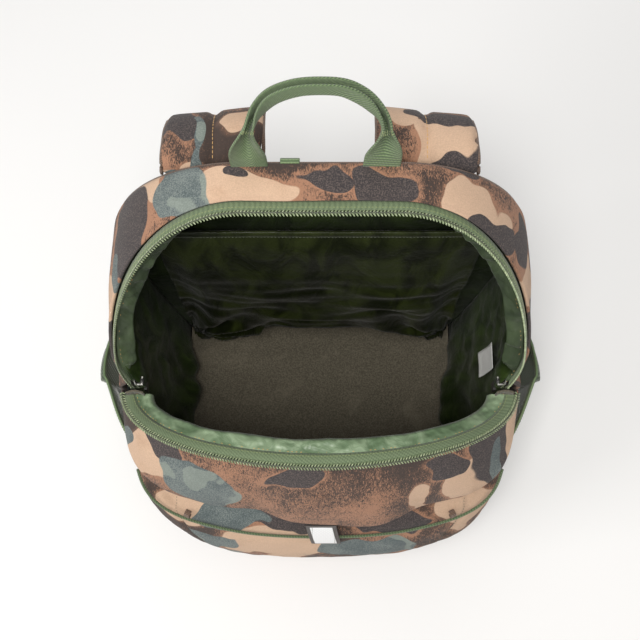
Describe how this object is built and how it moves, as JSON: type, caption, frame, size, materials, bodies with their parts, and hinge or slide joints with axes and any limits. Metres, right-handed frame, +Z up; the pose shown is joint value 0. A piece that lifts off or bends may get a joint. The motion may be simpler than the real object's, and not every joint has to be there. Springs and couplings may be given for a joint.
{
  "type": "daypack",
  "caption": "Small zip-top daypack with padded shoulder straps, front and side pockets and a webbing handle, standing open with its front flap dropped.",
  "frame": {"origin": "middle of the base's flat underside, level with the straight side walls' mid width", "axes": "+Z up, +Y towards the shoulder straps, +X to the right seen from the front pocket side"},
  "size_m": [0.368, 0.3242, 0.4854],
  "materials": {
    "camo_fabric": "printed woven polyester, matte",
    "base_fabric": "coated woven polyester",
    "satin_lining": "plain lining with a soft sheen",
    "webbing": "ribbed woven webbing",
    "zip_tape": "woven tape",
    "zip_coil": "moulded coil",
    "mesh": "open knitted mesh",
    "cord": "braided elastic cord",
    "pad_mesh": "air mesh over foam",
    "dark_webbing": "dark narrow webbing",
    "reflective": "reflective film, blank",
    "label": "blank printed satin",
    "zip_metal": "plated zinc",
    "pull": "moulded cord end",
    "buckle": "acetal"
  },
  "bodies": {
    "pack": {"base_panel": "base_fabric", "back_panel": "camo_fabric", "back_pad": "pad_mesh", "side_panel_left": "camo_fabric", "side_panel_right": "camo_fabric", "top_gusset": "camo_fabric", "front_panel": "camo_fabric", "front_pocket": "camo_fabric", "pocket_hem": "webbing", "zip_tape_back": "zip_tape", "zip_coil_back": "zip_coil", "lining_band_back": "satin_lining", "inner_sleeve": "satin_lining", "sleeve_hem": "satin_lining", "floor_lining": "base_fabric", "lining_left": "satin_lining", "lining_right": "satin_lining", "lining_front": "satin_lining", "care_label": "label", "strap_yoke": "webbing", "zip_garage_left": "satin_lining", "zip_garage_right": "satin_lining", "side_pocket_left": "mesh", "side_pocket_right": "mesh", "side_hem_left": "webbing", "side_hem_right": "webbing", "side_tab_left": "reflective", "side_tab_right": "reflective", "bungee_cord": "cord", "bungee_loops": "webbing", "light_loop": "dark_webbing", "reflective_patch": "reflective", "anchor_wing_left": "camo_fabric", "anchor_wing_right": "camo_fabric", "strap_webbing_left": "webbing", "strap_webbing_right": "webbing"},
    "front_flap": {"front_flap": "camo_fabric", "zip_tape_front": "zip_tape", "zip_coil_front": "zip_coil", "lining_band_front": "satin_lining"},
    "slider_left": {"zip_slider_left": "zip_metal"},
    "slider_right": {"zip_slider_right": "zip_metal"},
    "pull_left": {"zip_pull_left": "pull"},
    "pull_right": {"zip_pull_right": "pull"},
    "handle": {"haul_handle": "webbing"},
    "strap_left": {"shoulder_strap_left": "camo_fabric", "strap_tab_left": "webbing", "sternum_rail_left": "webbing"},
    "strap_right": {"shoulder_strap_right": "camo_fabric", "strap_tab_right": "webbing", "sternum_rail_right": "webbing"},
    "lock_left": {"ladder_lock_left": "buckle"},
    "lock_right": {"ladder_lock_right": "buckle"},
    "chest_slider_left": {"sternum_slider_left": "buckle"},
    "chest_slider_right": {"sternum_slider_right": "buckle"},
    "chest_left": {"sternum_webbing_left": "webbing", "sternum_buckle_male": "buckle"},
    "chest_right": {"sternum_webbing_right": "webbing", "sternum_buckle_female": "buckle"}
  },
  "joints": [
    {"name": "front_flap_fold", "type": "hinge", "parent": "pack", "child": "front_flap", "pos_m": [0, -0.039, 0.236], "axis": [-1, 0, 0], "range_deg": [0, 90]},
    {"name": "zip_slide_left", "type": "slide", "parent": "pack", "child": "slider_left", "axis": [-0.241, 0.4756, 0.846], "range_m": [0, 0.008]},
    {"name": "zip_pull_left", "type": "hinge", "parent": "slider_left", "child": "pull_left", "pos_m": [-0.1404, -0.03, 0.2405], "axis": [0, -1, 0], "range_deg": [0, 120]},
    {"name": "zip_slide_right", "type": "slide", "parent": "pack", "child": "slider_right", "axis": [0.241, 0.4756, 0.846], "range_m": [0, 0.008]},
    {"name": "zip_pull_right", "type": "hinge", "parent": "slider_right", "child": "pull_right", "pos_m": [0.1404, -0.03, 0.2405], "axis": [0, 1, 0], "range_deg": [0, 120]},
    {"name": "handle_fold", "type": "hinge", "parent": "pack", "child": "handle", "pos_m": [0, 0.08, 0.4075], "axis": [1, 0, 0], "range_deg": [-25, 80]},
    {"name": "strap_swing_left", "type": "hinge", "parent": "pack", "child": "strap_left", "pos_m": [-0.069, 0.0885, 0.389], "axis": [1, 0, 0], "range_deg": [-4, 45], "deforming": ["strap_webbing_left"]},
    {"name": "lock_tilt_left", "type": "hinge", "parent": "strap_left", "child": "lock_left", "pos_m": [-0.104, 0.1273, 0.141], "axis": [1, 0, 0], "range_deg": [0, 30]},
    {"name": "chest_slide_left", "type": "slide", "parent": "strap_left", "child": "chest_slider_left", "axis": [0.154, 0.062, 0.9861], "range_m": [-0.025, 0.025]},
    {"name": "chest_swing_left", "type": "hinge", "parent": "chest_slider_left", "child": "chest_left", "pos_m": [-0.0835, 0.1603, 0.286], "axis": [1, 0, 0], "range_deg": [-5, 120]},
    {"name": "strap_swing_right", "type": "hinge", "parent": "pack", "child": "strap_right", "pos_m": [0.069, 0.0885, 0.389], "axis": [1, 0, 0], "range_deg": [-4, 45], "deforming": ["strap_webbing_right"]},
    {"name": "lock_tilt_right", "type": "hinge", "parent": "strap_right", "child": "lock_right", "pos_m": [0.104, 0.1273, 0.141], "axis": [1, 0, 0], "range_deg": [0, 30]},
    {"name": "chest_slide_right", "type": "slide", "parent": "strap_right", "child": "chest_slider_right", "axis": [-0.154, 0.062, 0.9861], "range_m": [-0.025, 0.025]},
    {"name": "chest_swing_right", "type": "hinge", "parent": "chest_slider_right", "child": "chest_right", "pos_m": [0.0835, 0.1603, 0.286], "axis": [1, 0, 0], "range_deg": [-5, 120]}
  ]
}
